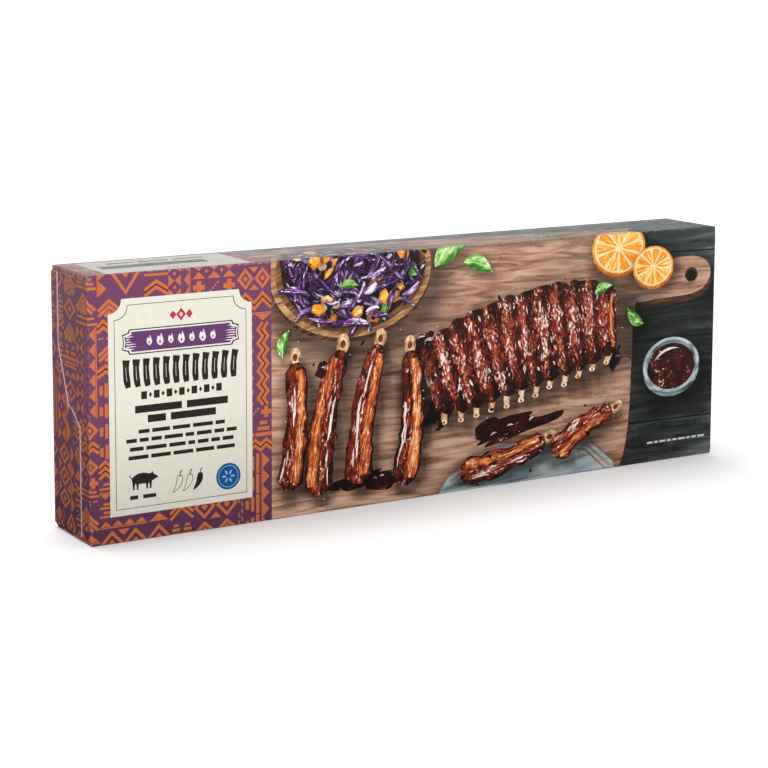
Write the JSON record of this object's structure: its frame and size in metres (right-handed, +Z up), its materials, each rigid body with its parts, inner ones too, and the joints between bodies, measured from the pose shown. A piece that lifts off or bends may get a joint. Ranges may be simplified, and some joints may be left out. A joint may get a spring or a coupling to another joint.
{
  "type": "folding carton of cooked ribs",
  "caption": "Shut printed board carton of cooked ribs, long and shallow, standing on its narrow side, with glued end flaps and a glued seam along the back.",
  "frame": {"origin": "middle of the underside, on the surface that the carton stands on", "axes": "+Z up, +X along the length of the front panel, -Y the way the front panel faces"},
  "size_m": [0.38, 0.0434, 0.1297],
  "materials": {
    "printed_board": "printed in colour and varnished, semi-gloss, with bare pale board at the cut edges"
  },
  "bodies": {
    "root": {"carton": "printed_board"}
  },
  "joints": []
}
